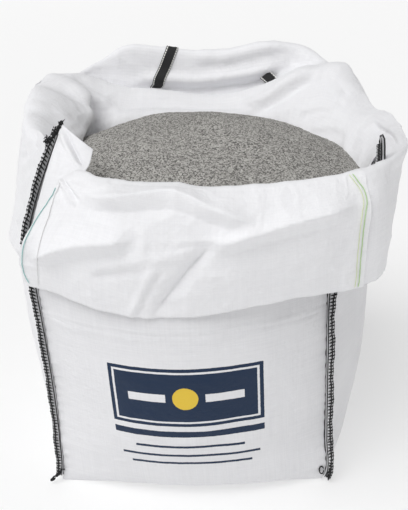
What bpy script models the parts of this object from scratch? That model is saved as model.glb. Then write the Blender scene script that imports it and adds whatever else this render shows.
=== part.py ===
"""A filled bulk bag of granite dust, standing open.

Metres, +Z up. The origin is the middle of the bag's footprint, on the floor, and the printed
front faces -Y. One woven sheet makes the front, the base and the back, a side panel is sewn in
on the left and on the right, and a skirt round the mouth is turned down over the front.
"""

import math

import bmesh
import bpy
from mathutils import Vector

PANEL_WIDTH = 0.80
FABRIC = 0.002
SEWN_GAP = 0.003
SKIRT_RISE = 0.008
FILL_GAP = 0.004
FIN_WIDTH = 0.034
FIN_THICKNESS = 0.003
SEAM_TOPS = {"front_right": 5.0, "back_right": 5.0, "back_left": 5.0}
WEBBING_WIDTH = 0.045
WEBBING_THICKNESS = 0.004
WEBBING_LIFT = 0.006
WEBBING_STEPS = 10
HEAP_TOP = 0.962
HEAP_FALL = 0.55
HEAP_SWELL = 0.003

CORNERS = ("front_left", "front_right", "back_right", "back_left")

# The inside of the filled body as eight upright guide lines, each from the floor to the sewn top
# edge: the four corner seams and the middle of the four walls. All have the same levels.
CORNER_LINES = {
    "front_left": (
        (-0.366, -0.366, 0.002), (-0.376, -0.376, 0.035), (-0.374, -0.376, 0.150), (-0.370, -0.378, 0.400),
        (-0.372, -0.388, 0.640), (-0.374, -0.394, 0.760), (-0.360, -0.392, 0.850), (-0.340, -0.378, 0.915),
    ),
    "front_right": (
        (0.366, -0.366, 0.002), (0.376, -0.376, 0.035), (0.374, -0.376, 0.150), (0.372, -0.378, 0.400),
        (0.374, -0.384, 0.640), (0.388, -0.390, 0.760), (0.408, -0.394, 0.850), (0.430, -0.392, 0.905),
    ),
    "back_right": (
        (0.366, 0.366, 0.002), (0.376, 0.376, 0.035), (0.374, 0.374, 0.150), (0.372, 0.372, 0.400),
        (0.376, 0.376, 0.620), (0.384, 0.382, 0.740), (0.386, 0.382, 0.830), (0.380, 0.372, 0.900),
    ),
    "back_left": (
        (-0.366, 0.366, 0.002), (-0.376, 0.376, 0.035), (-0.374, 0.374, 0.150), (-0.372, 0.372, 0.400),
        (-0.376, 0.376, 0.620), (-0.380, 0.382, 0.740), (-0.382, 0.382, 0.840), (-0.378, 0.376, 0.910),
    ),
}
WALL_LINES = {
    "front": (
        (0.0, -0.386, 0.002), (0.0, -0.438, 0.035), (0.0, -0.480, 0.150), (0.0, -0.510, 0.400),
        (0.0, -0.508, 0.620), (0.005, -0.503, 0.740), (0.010, -0.498, 0.820), (0.015, -0.494, 0.880),
    ),
    "right": (
        (0.386, 0.0, 0.002), (0.438, 0.0, 0.035), (0.480, 0.0, 0.150), (0.512, 0.0, 0.400),
        (0.514, 0.0, 0.620), (0.514, 0.0, 0.740), (0.518, 0.0, 0.815), (0.522, 0.0, 0.870),
    ),
    "back": (
        (0.0, 0.386, 0.002), (0.0, 0.438, 0.035), (0.0, 0.480, 0.150), (0.0, 0.512, 0.400),
        (0.0, 0.510, 0.620), (0.0, 0.496, 0.740), (0.0, 0.470, 0.815), (0.0, 0.440, 0.870),
    ),
    "left": (
        (-0.386, 0.0, 0.002), (-0.438, 0.0, 0.035), (-0.480, 0.0, 0.150), (-0.514, 0.0, 0.400),
        (-0.530, 0.0, 0.620), (-0.514, 0.0, 0.760), (-0.492, 0.0, 0.870), (-0.474, 0.0, 0.940),
    ),
}
WALLS = ("front", "right", "back", "left")
LEVELS = len(WALL_LINES["front"]) - 1

# How far each corner's tip is drawn out of the sewn top edge, and how far round that reaches.
EARS = {
    "front_left": (0.058, 0.085, 0.105),
    "front_right": (0.060, 0.050, 0.060),
    "back_right": (0.060, 0.030, 0.080),
    "back_left": (-0.060, 0.000, 0.120),
}
EAR_FOOT_LEVEL = 5.0
EAR_REACH = 0.13

# The skirt's sections, in turns from its free edge near the front left corner: 1 is the front
# right corner, 2 the back right and 3 the back left. Each is the cloth's path after its sewn root:
# foot, crown, hollow, second crown, shoulder, middle of the flap and hem. It hangs outside at the
# front and right, folds in over the dust and stands up at the back, and is tucked in on the left.
SKIRT_SECTIONS = (
    (0.20, (-0.212, -0.452, 0.915), (-0.235, -0.452, 0.928), (-0.255, -0.452, 0.925), (-0.275, -0.456, 0.905),
     (-0.313, -0.465, 0.855), (-0.368, -0.462, 0.775), (-0.378, -0.430, 0.660)),
    (0.25, (-0.180, -0.462, 0.920), (-0.198, -0.462, 0.950), (-0.203, -0.472, 0.948), (-0.210, -0.482, 0.925),
     (-0.233, -0.492, 0.870), (-0.278, -0.484, 0.765), (-0.298, -0.456, 0.650)),
    (0.31, (-0.138, -0.478, 0.912), (-0.148, -0.480, 0.942), (-0.150, -0.492, 0.943), (-0.155, -0.507, 0.925),
     (-0.165, -0.522, 0.872), (-0.190, -0.520, 0.765), (-0.210, -0.488, 0.632)),
    (0.42, (-0.050, -0.496, 0.905), (-0.056, -0.501, 0.931), (-0.056, -0.514, 0.931), (-0.056, -0.531, 0.911),
     (-0.060, -0.551, 0.857), (-0.073, -0.546, 0.740), (-0.085, -0.516, 0.615)),
    (0.59, (0.085, -0.498, 0.902), (0.085, -0.508, 0.925), (0.085, -0.522, 0.925), (0.086, -0.540, 0.904),
     (0.085, -0.557, 0.853), (0.078, -0.550, 0.740), (0.070, -0.520, 0.619)),
    (0.74, (0.212, -0.480, 0.908), (0.212, -0.500, 0.927), (0.212, -0.514, 0.926), (0.211, -0.532, 0.906),
     (0.213, -0.549, 0.855), (0.213, -0.541, 0.745), (0.214, -0.510, 0.641)),
    (0.86, (0.325, -0.450, 0.928), (0.327, -0.480, 0.940), (0.328, -0.494, 0.936), (0.330, -0.511, 0.912),
     (0.334, -0.529, 0.864), (0.335, -0.518, 0.750), (0.338, -0.480, 0.649)),
    (0.94, (0.422, -0.400, 0.960), (0.424, -0.436, 0.964), (0.430, -0.458, 0.955), (0.438, -0.474, 0.924),
     (0.447, -0.488, 0.870), (0.450, -0.474, 0.755), (0.452, -0.430, 0.642)),
    (1.00, (0.494, -0.350, 0.980), (0.505, -0.360, 0.984), (0.515, -0.369, 0.980), (0.522, -0.380, 0.962),
     (0.528, -0.390, 0.915), (0.528, -0.386, 0.780), (0.502, -0.352, 0.628)),
    (1.08, (0.515, -0.292, 0.948), (0.536, -0.290, 0.958), (0.549, -0.291, 0.954), (0.556, -0.295, 0.935),
     (0.557, -0.298, 0.895), (0.552, -0.297, 0.770), (0.525, -0.275, 0.615)),
    (1.25, (0.535, -0.175, 0.905), (0.558, -0.169, 0.930), (0.571, -0.168, 0.936), (0.577, -0.170, 0.924),
     (0.578, -0.172, 0.882), (0.573, -0.170, 0.760), (0.542, -0.150, 0.605)),
    (1.45, (0.545, -0.037, 0.893), (0.568, -0.036, 0.927), (0.580, -0.036, 0.936), (0.588, -0.036, 0.922),
     (0.591, -0.036, 0.878), (0.586, -0.030, 0.755), (0.546, -0.020, 0.605)),
    (1.62, (0.536, 0.088, 0.893), (0.560, 0.087, 0.927), (0.573, 0.087, 0.936), (0.583, 0.089, 0.920),
     (0.591, 0.096, 0.873), (0.587, 0.100, 0.755), (0.547, 0.100, 0.610)),
    (1.78, (0.500, 0.205, 0.908), (0.525, 0.205, 0.935), (0.540, 0.208, 0.942), (0.553, 0.214, 0.925),
     (0.570, 0.223, 0.875), (0.576, 0.230, 0.760), (0.546, 0.220, 0.630)),
    (1.87, (0.430, 0.190, 0.905), (0.485, 0.255, 0.985), (0.502, 0.273, 0.993), (0.517, 0.289, 0.975),
     (0.543, 0.316, 0.925), (0.560, 0.335, 0.800), (0.540, 0.322, 0.655)),
    (1.94, (0.368, 0.155, 0.888), (0.430, 0.268, 1.010), (0.456, 0.310, 1.047), (0.480, 0.342, 1.035),
     (0.510, 0.388, 0.980), (0.530, 0.420, 0.850), (0.515, 0.408, 0.700)),
    (2.03, (0.330, 0.180, 0.897), (0.375, 0.282, 0.995), (0.404, 0.335, 1.038), (0.430, 0.378, 1.040),
     (0.462, 0.436, 0.992), (0.482, 0.478, 0.870), (0.470, 0.475, 0.745)),
    (2.12, (0.288, 0.210, 0.912), (0.318, 0.335, 1.016), (0.336, 0.382, 1.014), (0.358, 0.425, 1.077),
     (0.380, 0.468, 1.045), (0.395, 0.500, 0.950), (0.392, 0.506, 0.850)),
    (2.27, (0.205, 0.240, 0.920), (0.211, 0.340, 0.984), (0.213, 0.395, 0.960), (0.215, 0.432, 1.098),
     (0.215, 0.478, 1.076), (0.214, 0.508, 0.985), (0.212, 0.515, 0.900)),
    (2.42, (0.085, 0.255, 0.935), (0.080, 0.350, 0.960), (0.078, 0.402, 0.942), (0.080, 0.437, 1.083),
     (0.080, 0.480, 1.062), (0.078, 0.508, 0.980), (0.076, 0.515, 0.905)),
    (2.55, (-0.020, 0.255, 0.938), (-0.025, 0.355, 0.963), (-0.028, 0.408, 0.944), (-0.030, 0.440, 1.087),
     (-0.031, 0.482, 1.064), (-0.033, 0.512, 0.985), (-0.034, 0.518, 0.910)),
    (2.68, (-0.120, 0.245, 0.936), (-0.128, 0.358, 0.977), (-0.134, 0.412, 0.956), (-0.135, 0.446, 1.101),
     (-0.138, 0.488, 1.076), (-0.142, 0.516, 0.990), (-0.145, 0.522, 0.915)),
    (2.80, (-0.225, 0.232, 0.931), (-0.230, 0.360, 0.990), (-0.239, 0.414, 0.972), (-0.240, 0.450, 1.107),
     (-0.244, 0.492, 1.078), (-0.250, 0.520, 0.990), (-0.254, 0.526, 0.915)),
    (2.88, (-0.285, 0.245, 0.930), (-0.306, 0.350, 1.010), (-0.318, 0.398, 1.002), (-0.322, 0.440, 1.074),
     (-0.332, 0.476, 1.050), (-0.342, 0.500, 0.980), (-0.348, 0.508, 0.925)),
    (2.94, (-0.374, 0.370, 1.020), (-0.376, 0.370, 1.040), (-0.384, 0.382, 1.056), (-0.397, 0.402, 1.070),
     (-0.409, 0.420, 1.076), (-0.418, 0.433, 1.070), (-0.424, 0.440, 1.055)),
    (2.98, (-0.424, 0.378, 1.038), (-0.425, 0.376, 1.053), (-0.422, 0.370, 1.066), (-0.415, 0.360, 1.073),
     (-0.405, 0.348, 1.070), (-0.392, 0.334, 1.055), (-0.378, 0.318, 1.030)),
    (3.03, (-0.447, 0.352, 1.042), (-0.445, 0.345, 1.060), (-0.433, 0.330, 1.063), (-0.415, 0.308, 1.054),
     (-0.388, 0.283, 1.026), (-0.352, 0.252, 0.985), (-0.330, 0.210, 0.924)),
    (3.10, (-0.460, 0.303, 1.008), (-0.463, 0.299, 1.032), (-0.454, 0.286, 1.040), (-0.433, 0.266, 1.034),
     (-0.388, 0.232, 1.014), (-0.326, 0.155, 0.978), (-0.322, 0.090, 0.924)),
    (3.20, (-0.472, 0.228, 0.978), (-0.482, 0.232, 1.010), (-0.480, 0.228, 1.034), (-0.458, 0.212, 1.034),
     (-0.402, 0.168, 1.017), (-0.328, 0.085, 0.982), (-0.304, 0.000, 0.927)),
    (3.35, (-0.477, 0.112, 0.964), (-0.482, 0.114, 0.995), (-0.478, 0.112, 1.018), (-0.455, 0.098, 1.019),
     (-0.400, 0.060, 1.006), (-0.337, -0.005, 0.982), (-0.297, -0.070, 0.928)),
    (3.50, (-0.476, 0.000, 0.963), (-0.473, 0.000, 0.985), (-0.461, -0.003, 1.000), (-0.440, -0.012, 1.000),
     (-0.392, -0.045, 0.991), (-0.346, -0.088, 0.972), (-0.297, -0.125, 0.926)),
    (3.65, (-0.456, -0.115, 0.957), (-0.448, -0.115, 0.976), (-0.434, -0.117, 0.988), (-0.414, -0.122, 0.989),
     (-0.379, -0.140, 0.979), (-0.343, -0.163, 0.960), (-0.306, -0.185, 0.922)),
    (3.80, (-0.408, -0.208, 0.970), (-0.400, -0.205, 0.983), (-0.388, -0.203, 0.989), (-0.372, -0.203, 0.985),
     (-0.348, -0.203, 0.968), (-0.325, -0.205, 0.943), (-0.303, -0.205, 0.922)),
    (3.90, (-0.356, -0.257, 0.997), (-0.350, -0.252, 1.008), (-0.342, -0.246, 1.010), (-0.332, -0.240, 1.000),
     (-0.322, -0.232, 0.980), (-0.313, -0.226, 0.955), (-0.305, -0.220, 0.925)),
)
SKIRT_NODES = 8
LEFT_LOOP_PATH = ((2.69, 3.3), (2.65, 3.8), (2.61, 4.3), (2.57, 5.4))
RIGHT_LOOP_PATH = ((2.29, 3.2), (2.23, 3.5), (2.16, 3.8))

WALL_COLUMNS = 10
WALL_ROWS = 14
BASE_ROWS = 6
HEAP_RINGS = 7
FILL_SHARED_LEVEL = 4.0
FILL_UPPER_ROWS = 5
SKIRT_STATIONS = 74
SKIRT_ROWS = 21


def clear_scene():
    for old in list(bpy.data.objects):
        bpy.data.objects.remove(old, do_unlink=True)


def make_collection(name):
    collection = bpy.data.collections.new(name)
    bpy.context.scene.collection.children.link(collection)
    return collection


def material(name, colour, roughness, metallic=0.0):
    made = bpy.data.materials.new(name)
    made.use_nodes = True
    shader = made.node_tree.nodes["Principled BSDF"]
    shader.inputs["Base Color"].default_value = (*colour, 1.0)
    shader.inputs["Roughness"].default_value = roughness
    shader.inputs["Metallic"].default_value = metallic
    return made


def through(points, at):
    """The point at 0 to len(points) - 1 on a smooth curve through the points."""
    last = len(points) - 1
    start = min(max(int(at), 0), last - 1)
    t = at - start
    p1, p2 = Vector(points[start]), Vector(points[start + 1])
    p0 = Vector(points[start - 1]) if start else 2 * p1 - p2
    p3 = Vector(points[start + 2]) if start + 2 <= last else 2 * p2 - p1
    into, out = (p2 - p0) / 2, (p3 - p1) / 2
    curve = (2 * t**3 - 3 * t**2 + 1) * p1 + (t**3 - 2 * t**2 + t) * into
    return curve + (3 * t**2 - 2 * t**3) * p2 + (t**3 - t**2) * out


def body_point(turn, level):
    """A point of the body's inside wall. Level 0 is the floor and LEVELS the sewn top edge."""
    wall = math.floor(turn) % 4
    u = turn % 1.0
    start = through(CORNER_LINES[CORNERS[wall]], level)
    middle = through(WALL_LINES[WALLS[wall]], level)
    end = through(CORNER_LINES[CORNERS[(wall + 1) % 4]], level)
    point = (1 - u) * (1 - 2 * u) * start + 4 * u * (1 - u) * middle + u * (2 * u - 1) * end
    rise = max(0.0, (level - EAR_FOOT_LEVEL) / (LEVELS - EAR_FOOT_LEVEL)) ** 2
    for corner, away in ((CORNERS[wall], u), (CORNERS[(wall + 1) % 4], 1 - u)):
        point += Vector(EARS[corner]) * rise * math.exp(-((away / EAR_REACH) ** 2))
    return point


def normal_of(surface, a, b, step=1e-3):
    """The outward direction of a surface whose first parameter runs round the bag and second up."""
    round_it = surface(a + step, b) - surface(a - step, b)
    up_it = surface(a, b + step) - surface(a, b - step)
    return round_it.cross(up_it).normalized()


def skirt_node(turn, node):
    """One node of the skirt's section at any turn."""
    after = next((i for i, s in enumerate(SKIRT_SECTIONS) if s[0] > turn), len(SKIRT_SECTIONS) - 1)
    start, end = SKIRT_SECTIONS[after - 1], SKIRT_SECTIONS[after]
    before = SKIRT_SECTIONS[max(after - 2, 0)]
    beyond = SKIRT_SECTIONS[min(after + 1, len(SKIRT_SECTIONS) - 1)]
    width = end[0] - start[0]
    into = (Vector(end[node]) - Vector(before[node])) / (end[0] - before[0]) * width
    out = (Vector(beyond[node]) - Vector(start[node])) / (beyond[0] - start[0]) * width
    t = (turn - start[0]) / width
    curve = (2 * t**3 - 3 * t**2 + 1) * Vector(start[node]) + (t**3 - 2 * t**2 + t) * into
    return curve + (3 * t**2 - 2 * t**3) * Vector(end[node]) + (t**3 - t**2) * out


def skirt_point(turn, at):
    """A point of the skirt, from its sewn root at 0 to its hem at SKIRT_NODES - 1."""
    path = [body_point(turn, LEVELS) + Vector((0, 0, SKIRT_RISE))]
    path.extend(skirt_node(turn, node) for node in range(1, SKIRT_NODES))
    return through(path, at)


def grid_mesh(name, rows, ring=False):
    """A sheet of quads through rows of points. With ring, each row closes on itself."""
    mesh = bpy.data.meshes.new(name)
    sheet = bmesh.new()
    made = [[sheet.verts.new(point) for point in row] for row in rows]
    for low, high in zip(made, made[1:]):
        count = len(low)
        for i in range(count if ring else count - 1):
            j = (i + 1) % count
            sheet.faces.new((low[i], low[j], high[j], high[i]))
    sheet.to_mesh(mesh)
    sheet.free()
    return mesh


def close_rings(mesh, count, peak):
    """Close a stack of rings: a flat face on the first ring, a fan up to the peak on the last."""
    stack = bmesh.new()
    stack.from_mesh(mesh)
    tip = stack.verts.new(peak)
    stack.verts.ensure_lookup_table()
    stack.faces.new(reversed(stack.verts[:count]))
    last = stack.verts[-1 - count:-1]
    for i in range(count):
        stack.faces.new((last[i], last[(i + 1) % count], tip))
    stack.to_mesh(mesh)
    stack.free()


def add_object(name, mesh, look, collection):
    made = bpy.data.objects.new(name, mesh)
    mesh.materials.append(look)
    mesh.shade_smooth()
    mesh.set_sharp_from_angle(angle=math.radians(40))
    collection.objects.link(made)
    return made


def thicken(sheet, thickness, offset=1.0):
    solid = sheet.modifiers.new("Solidify", "SOLIDIFY")
    solid.thickness = thickness
    solid.offset = offset


def wall_levels():
    """The levels of a wall's rows: close together at the rounded heel."""
    return [LEVELS * (i / WALL_ROWS) for i in range(WALL_ROWS + 1)]


def wall_turns(wall):
    """The turns of one wall's columns, short of its two corner seams."""
    edge = SEWN_GAP / PANEL_WIDTH
    return [wall + edge + (1 - 2 * edge) * i / WALL_COLUMNS for i in range(WALL_COLUMNS + 1)]


def front_base_back_panel(look, collection):
    """One long sheet: down the front, under the dust and up the back."""
    front = [[body_point(t, level) for t in wall_turns(0)] for level in wall_levels()]
    back = [[body_point(t, level) for t in reversed(wall_turns(2))] for level in wall_levels()]
    left = [body_point(4 - i / BASE_ROWS, 0) for i in range(1, BASE_ROWS)]
    right = [body_point(1 + i / BASE_ROWS, 0) for i in range(1, BASE_ROWS)]
    base = []
    for start, end in zip(left, right):
        inset = (end - start).normalized() * SEWN_GAP
        base.append([(start + inset).lerp(end - inset, i / WALL_COLUMNS) for i in range(WALL_COLUMNS + 1)])
    rows = [*reversed(front), *base, *back]
    panel = add_object("front_base_back_panel", grid_mesh("front_base_back_panel", rows), look, collection)
    thicken(panel, FABRIC, offset=-1.0)


def side_panel(name, wall, look, collection):
    """A side wall, sewn to the long sheet up both corners and along the floor."""
    lowest = 0.35
    levels = [level for level in wall_levels() if level > lowest]
    rows = [[body_point(t, level) for t in wall_turns(wall)] for level in [lowest, *levels]]
    panel = add_object(name, grid_mesh(name, rows), look, collection)
    thicken(panel, FABRIC)


def granite_dust(look, collection):
    """The fill: it takes the bag's inside shape and heaps up in the mouth."""
    turns = [i / WALL_COLUMNS for i in range(4 * WALL_COLUMNS)]

    def inside(turn, level):
        return body_point(turn, level) - FILL_GAP * normal_of(body_point, turn, max(level, 0.02))

    def heap_height(point):
        swell = math.sin(19 * point.x + 0.6) * math.cos(21 * point.y) + 0.6 * math.sin(13 * (point.x + point.y))
        return HEAP_TOP - HEAP_FALL * (point.x**2 + point.y**2) + HEAP_SWELL * swell

    def wall_meets_heap(turn):
        low, high = FILL_SHARED_LEVEL, float(LEVELS)
        for _ in range(30):
            middle = (low + high) / 2
            point = inside(turn, middle)
            low, high = (middle, high) if point.z < heap_height(point) else (low, middle)
        return low

    tops = [wall_meets_heap(turn) for turn in turns]
    shared = [level for level in wall_levels() if level <= FILL_SHARED_LEVEL]
    rows = [[inside(turn, level) for turn in turns] for level in shared]
    for k in range(1, FILL_UPPER_ROWS + 1):
        share = k / FILL_UPPER_ROWS
        levels = [shared[-1] + (top - shared[-1]) * share for top in tops]
        rows.append([inside(turn, level) for turn, level in zip(turns, levels)])
    for point in rows[0]:
        point.z = FABRIC + FILL_GAP
    brim = rows[-1]
    for k in range(1, HEAP_RINGS):
        share = 1 - k / HEAP_RINGS
        ring = [Vector((p.x * share, p.y * share, 0)) for p in brim]
        for point in ring:
            point.z = heap_height(point)
        rows.append(ring)
    mesh = grid_mesh("granite_dust", rows, ring=True)
    close_rings(mesh, len(turns), Vector((0, 0, heap_height(Vector((0, 0, 0))))))
    add_object("granite_dust", mesh, look, collection)


def top_skirt(look, collection):
    """The strip of cloth sewn round the mouth, turned down over the front and folded at the back."""
    first, last = SKIRT_SECTIONS[0][0], SKIRT_SECTIONS[-1][0]
    rows = []
    for k in range(SKIRT_ROWS + 1):
        at = (SKIRT_NODES - 1) * k / SKIRT_ROWS
        turns = [first + (last - first) * i / SKIRT_STATIONS for i in range(SKIRT_STATIONS + 1)]
        rows.append([skirt_point(turn, at) for turn in turns])
    skirt = add_object("top_skirt", grid_mesh("top_skirt", rows), look, collection)
    thicken(skirt, FABRIC, offset=0.0)


def corner_seam(corner, look, collection):
    """The sewn edges of two panels, bound with black thread, standing out from the corner."""
    index = CORNERS.index(corner)
    rows = []
    top = SEAM_TOPS.get(corner, LEVELS)
    for level in (level for level in wall_levels()[1:] if level <= top):
        root = body_point(index, level)
        out = Vector((root.x, root.y, 0)).normalized()
        inner = root + out * (FABRIC + 0.001)
        rows.append([inner, inner + out * FIN_WIDTH])
    seam = add_object("corner_seam_" + corner, grid_mesh("corner_seam_" + corner, rows), look, collection)
    thicken(seam, FIN_THICKNESS, offset=0.0)


def webbing(name, surface, path, look, collection):
    """A doubled strap lying on a surface. The path is (turn, place up the surface) pairs."""
    steps = WEBBING_STEPS * (len(path) - 1)
    rows = []
    for k in range(steps + 1):
        turn, at, _ = through([(*p, 0) for p in path], k / WEBBING_STEPS)
        spread = (surface(turn + 0.005, at) - surface(turn - 0.005, at)).length / 0.01
        half = WEBBING_WIDTH / 2 / spread
        row = []
        for side in (-1, -0.5, 0, 0.5, 1):
            place = turn + side * half
            row.append(surface(place, at) + normal_of(surface, place, at) * WEBBING_LIFT)
        rows.append(row)
    strap = add_object(name, grid_mesh(name, rows), look, collection)
    thicken(strap, WEBBING_THICKNESS, offset=0.0)


def main():
    clear_scene()
    bag = make_collection("bulk_bag_of_granite_dust")
    cloth = material("woven_white", (0.80, 0.80, 0.81), 0.62)
    thread = material("black_thread", (0.02, 0.02, 0.02), 0.80)
    strap = material("black_webbing", (0.02, 0.02, 0.022), 0.75)
    dust = material("granite_dust", (0.36, 0.35, 0.33), 0.95)
    granite_dust(dust, bag)
    front_base_back_panel(cloth, bag)
    side_panel("right_side_panel", 1, cloth, bag)
    side_panel("left_side_panel", 3, cloth, bag)
    top_skirt(cloth, bag)
    for corner in CORNERS:
        corner_seam(corner, thread, bag)
    webbing("lifting_loop_back_left", skirt_point, LEFT_LOOP_PATH, strap, bag)
    webbing("lifting_loop_back_right", skirt_point, RIGHT_LOOP_PATH, strap, bag)


main()
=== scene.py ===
"""A filled bulk bag of granite dust: woven cloth, sewn corners, a turned-down skirt and the heap."""

import math

import bpy
import numpy as np
from mathutils import Matrix, Vector


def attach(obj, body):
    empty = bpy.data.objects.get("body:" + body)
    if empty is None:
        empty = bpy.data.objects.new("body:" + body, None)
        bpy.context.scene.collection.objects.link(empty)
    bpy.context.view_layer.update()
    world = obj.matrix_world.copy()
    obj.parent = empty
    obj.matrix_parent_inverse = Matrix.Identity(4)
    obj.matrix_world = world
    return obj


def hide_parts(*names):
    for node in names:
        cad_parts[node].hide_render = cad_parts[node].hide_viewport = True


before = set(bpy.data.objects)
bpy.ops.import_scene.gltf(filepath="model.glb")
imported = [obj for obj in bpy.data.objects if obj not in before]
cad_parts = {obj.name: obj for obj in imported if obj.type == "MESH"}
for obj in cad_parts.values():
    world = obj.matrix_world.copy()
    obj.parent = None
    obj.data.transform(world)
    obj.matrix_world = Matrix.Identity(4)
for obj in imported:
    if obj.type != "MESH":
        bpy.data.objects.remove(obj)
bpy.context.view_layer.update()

# The camera, as the photograph's frame of 408 by 510 has it.
PICTURE_WIDE, PICTURE_HIGH = 408, 510
CAMERA_TURN = math.radians(6.2)
CAMERA_RISE = math.radians(25.4)
CAMERA_ROLL = math.radians(3.6)
CAMERA_AWAY = 2.25
CAMERA_AIM = Vector((0.0, 0.0, 0.47))
FOCAL = 725.0
PICTURE_MIDDLE = (196.0, 278.0)

CLOTH = 0.0016
HEAP_TOP = 0.962
HEAP_FALL = 0.55
HEAP_SWELL = 0.003
rng = np.random.default_rng(7)


def set_camera():
    """Stand the camera in front of the bag, a little to its right and above it."""
    turn, rise, roll = CAMERA_TURN, CAMERA_RISE, CAMERA_ROLL
    back = Vector((math.sin(turn) * math.cos(rise), -math.cos(turn) * math.cos(rise), math.sin(rise)))
    right = Vector((math.cos(turn), math.sin(turn), 0.0))
    up = back.cross(right)
    across = right * math.cos(roll) - up * math.sin(roll)
    along = right * math.sin(roll) + up * math.cos(roll)
    data = bpy.data.cameras.new("camera")
    data.sensor_width = 36.0
    data.lens = FOCAL / PICTURE_HIGH * data.sensor_width
    data.shift_x = (PICTURE_WIDE / 2 - PICTURE_MIDDLE[0]) / PICTURE_HIGH
    data.shift_y = (PICTURE_MIDDLE[1] - PICTURE_HIGH / 2) / PICTURE_HIGH
    data.clip_end = 400.0
    made = bpy.data.objects.new("camera", data)
    placed = Matrix((across, along, back)).transposed().to_4x4()
    placed.translation = CAMERA_AIM + back * CAMERA_AWAY
    made.matrix_world = placed
    bpy.context.scene.collection.objects.link(made)
    bpy.context.scene.camera = made
    return placed


view = set_camera()


def seen(x, y, depth):
    """The point that shows at x, y in the frame, where the view crosses the upright plane y = depth."""
    ray = Vector(((x - PICTURE_MIDDLE[0]) / FOCAL, (PICTURE_MIDDLE[1] - y) / FOCAL, -1.0))
    ray = view.to_3x3() @ ray
    eye = view.translation
    return np.array(eye + ray * ((depth - eye.y) / ray.y))


def shown(points):
    """Where points show in the frame."""
    turned = (np.asarray(points) - np.array(view.translation)) @ np.array(view.to_3x3())
    x = PICTURE_MIDDLE[0] - FOCAL * turned[..., 0] / turned[..., 2]
    return np.stack([x, PICTURE_MIDDLE[1] + FOCAL * turned[..., 1] / turned[..., 2]], axis=-1)


def spot(place):
    """A point in metres, or one given as its place in the frame and how far back it is."""
    return seen(*place) if abs(place[0]) > 3 else np.array(place, dtype=float)


# Cloth as grids of points


def smooth_along(points, steps):
    """Points on smooth curves down the first axis of an array of knots, steps to each span."""
    points = np.asarray(points, dtype=float)
    if len(points) == 2:
        points = np.stack([points[0], points.mean(axis=0), points[1]])
    span = np.diff(points, axis=0)
    size = np.maximum(np.linalg.norm(span, axis=-1, keepdims=True), 1e-9)
    unit = span / size
    inner = size[1:] * unit[:-1] + size[:-1] * unit[1:]
    inner /= np.maximum(np.linalg.norm(inner, axis=-1, keepdims=True), 1e-9)
    ends = [2 * unit[0] - inner[0], 2 * unit[-1] - inner[-1]]
    ends = [e / np.maximum(np.linalg.norm(e, axis=-1, keepdims=True), 1e-9) for e in ends]
    way = np.concatenate([ends[0][None], inner, ends[1][None]])
    out = []
    for i in range(len(span)):
        for k in range(steps):
            t = k / steps
            out.append(
                (2 * t**3 - 3 * t**2 + 1) * points[i]
                + (t**3 - 2 * t**2 + t) * size[i] * way[i]
                + (3 * t**2 - 2 * t**3) * points[i + 1]
                + (t**3 - t**2) * size[i] * way[i + 1]
            )
    out.append(points[-1])
    return np.array(out)


def net(knots, down, across):
    """A smooth sheet through a net of knots given as rows of points."""
    rows = smooth_along(np.array(knots, dtype=float), down)
    return smooth_along(rows.transpose(1, 0, 2), across).transpose(1, 0, 2)


def facing(grid):
    """The unit direction that each point of a grid faces, out of the cloth's outer side."""
    along = np.gradient(grid, axis=1)
    down = np.gradient(grid, axis=0)
    face = np.cross(down, along)
    return face / np.maximum(np.linalg.norm(face, axis=-1, keepdims=True), 1e-12)


def lattice(cell, seed):
    """Evenly spread numbers from -1 to 1, one for each whole cell."""
    mixed = cell[..., 0] * 73856093 ^ cell[..., 1] * 19349663 ^ cell[..., 2] * 83492791 ^ seed * 2654435761
    mixed = (mixed ^ (mixed >> 13)) * 1274126177 & 0x7FFFFFFF
    return (mixed ^ (mixed >> 16)) % 65536 / 32767.5 - 1.0


def ripple(points, size, seed=0):
    """Smooth noise from -1 to 1 whose lumps are about size metres across."""
    place = np.asarray(points) / size
    cell = np.floor(place).astype(np.int64)
    part = place - cell
    part = part * part * (3 - 2 * part)
    total = 0.0
    for dx in (0, 1):
        for dy in (0, 1):
            for dz in (0, 1):
                weight = (
                    (part[..., 0] if dx else 1 - part[..., 0])
                    * (part[..., 1] if dy else 1 - part[..., 1])
                    * (part[..., 2] if dz else 1 - part[..., 2])
                )
                total = total + weight * lattice(cell + np.array((dx, dy, dz)), seed)
    return total


def beside(places, path):
    """How far to the right of a path each place is, and how far along the path, from 0 to 1."""
    path = smooth_along(np.array(path, dtype=float), 6)
    spans = np.linalg.norm(np.diff(path, axis=0), axis=1)
    before = np.concatenate([[0], np.cumsum(spans)]) / spans.sum()
    away = np.full(places.shape[:-1], 1e9)
    along = np.zeros(places.shape[:-1])
    for i, (start, end) in enumerate(zip(path, path[1:])):
        line, rest = end - start, places - start
        t = np.clip((rest @ line) / (line @ line), 0, 1)
        gap = np.linalg.norm(rest - t[..., None] * line, axis=-1)
        side = np.where(line[0] * rest[..., 1] - line[1] * rest[..., 0] < 0, -1.0, 1.0)
        nearer = gap < np.abs(away)
        away = np.where(nearer, side * gap, away)
        along = np.where(nearer, before[i] + t * (before[i + 1] - before[i]), along)
    return away, along


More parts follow.
